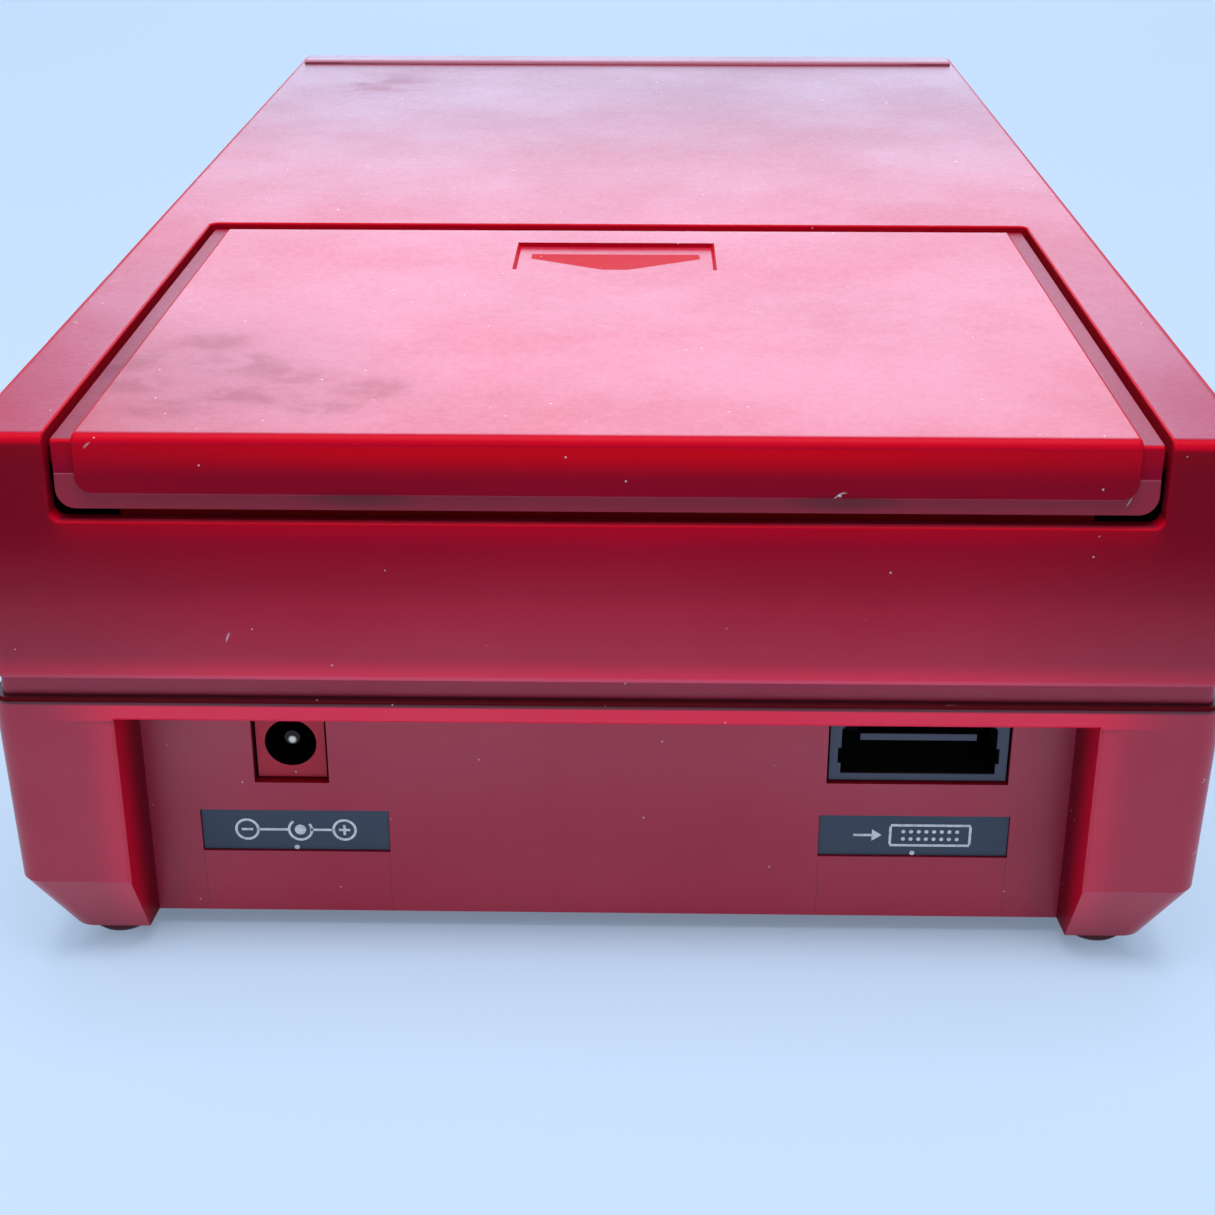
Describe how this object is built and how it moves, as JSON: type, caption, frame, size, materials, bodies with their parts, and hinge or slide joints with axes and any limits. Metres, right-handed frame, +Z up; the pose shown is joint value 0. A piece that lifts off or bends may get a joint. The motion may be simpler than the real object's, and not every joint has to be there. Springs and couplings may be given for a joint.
{
  "type": "card disk drive unit",
  "caption": "Red plastic battery-powered card disk drive for a home game console: sliding battery door on top, DC jack and adapter socket in a rear recess, front card slot.",
  "frame": {"origin": "centre of the footprint, on the floor under the rubber feet", "axes": "+Z up, +Y to the rear with the sockets and the battery door, -Y to the front with the card slot, +X to the right seen from the front"},
  "size_m": [0.1512, 0.263, 0.0738],
  "materials": {
    "red_plastic": "deep translucent red moulded plastic, fine pebble grain on top, satin on the flanks",
    "black_plastic": "black moulded plastic with a fine spark texture",
    "slate_plastic": "dark slate-grey moulded plastic",
    "slate_plate": "dark slate inset plate",
    "amber_plastic": "amber moulded push button",
    "white_plastic": "natural acetal",
    "foot_rubber": "black rubber",
    "belt_rubber": "smooth black belt rubber",
    "steel": "bright zinc-plated steel",
    "spring_steel": "nickel-plated spring steel",
    "brass": "turned brass",
    "alloy": "cast and machined light alloy",
    "board": "green-masked circuit board",
    "chip": "black epoxy package",
    "can": "dark blue sleeve",
    "felt": "pale felt",
    "lamp": "clear red lens",
    "ribbon": "grey flat cable",
    "lead": "red insulated lead",
    "ferrite": "polished dark ferrite"
  },
  "bodies": {
    "case": {"top_case": "red_plastic", "bottom_case": "red_plastic", "dc_jack_body": "red_plastic", "battery_tray": "black_plastic", "front_bezel": "black_plastic", "battery_contact_plates": "spring_steel", "battery_springs": "spring_steel", "lift_springs": "spring_steel", "tray_screws": "steel", "case_screws": "steel", "power_board_screws": "steel", "drive_board_screws": "steel", "mount_screws": "steel", "motor_screws": "steel", "rubber_feet": "foot_rubber", "mount_grommets": "foot_rubber", "dc_label_plate": "slate_plate", "adapter_label_plate": "slate_plate", "shield_plate": "steel", "dc_jack_pin": "spring_steel", "adapter_socket_shell": "slate_plastic", "adapter_socket_tongue": "slate_plastic", "adapter_contacts": "brass", "power_board": "board", "drive_board": "board", "power_capacitors": "can", "regulator": "chip", "heat_sink": "alloy", "power_lamp": "lamp", "drive_chassis": "alloy", "spindle_bearing": "brass", "cam_bearing": "brass", "drive_motor": "steel", "drive_belt": "belt_rubber", "feed_belt": "belt_rubber", "guide_rods": "steel", "drive_board_chips": "chip", "board_connectors": "white_plastic", "ribbon_cable": "ribbon", "battery_leads": "lead", "card_switches": "chip"},
    "door": {"battery_door": "red_plastic"},
    "carrier": {"card_carrier": "steel", "pad_arm": "steel", "felt_pad": "felt"},
    "eject": {"eject_slide": "steel", "eject_button": "amber_plastic"},
    "spindle": {"spindle_hub": "steel", "flywheel": "alloy"},
    "motor_rotor": {"motor_pulley": "brass"},
    "feed": {"feed_cam": "white_plastic", "feed_pulley": "white_plastic"},
    "head": {"head_carriage": "white_plastic", "read_head": "ferrite"}
  },
  "joints": [
    {"name": "door_slide", "type": "slide", "parent": "case", "child": "door", "axis": [0, 1, 0], "range_m": [0, 0.12]},
    {"name": "card_lift", "type": "slide", "parent": "case", "child": "carrier", "axis": [0, 0, -1], "range_m": [0, 0.005], "stiffness_N_per_m": 250, "springref_m": -0.008, "deforming": ["lift_springs"]},
    {"name": "eject_push", "type": "slide", "parent": "case", "child": "eject", "axis": [0, -1, 0], "range_m": [0, 0.006]},
    {"name": "spindle_spin", "type": "hinge", "parent": "case", "child": "spindle", "pos_m": [0, -0.073, 0.03], "axis": [0, 0, 1], "continuous": true},
    {"name": "motor_spin", "type": "hinge", "parent": "case", "child": "motor_rotor", "pos_m": [0.04, -0.003, 0.02], "axis": [0, 0, 1], "continuous": true},
    {"name": "cam_turn", "type": "hinge", "parent": "case", "child": "feed", "pos_m": [0, -0.0164, 0.03], "axis": [0, 0, 1], "range_deg": [0, 300]},
    {"name": "head_slide", "type": "slide", "parent": "case", "child": "head", "axis": [0, -1, 0], "range_m": [0, 0.014]}
  ],
  "couplings": [
    {"joint": "eject_push", "follows": "card_lift", "ratio": 1.2},
    {"joint": "motor_spin", "follows": "spindle_spin", "ratio": 7.5},
    {"joint": "head_slide", "follows": "cam_turn", "m_per_rad": 0.0026737}
  ]
}
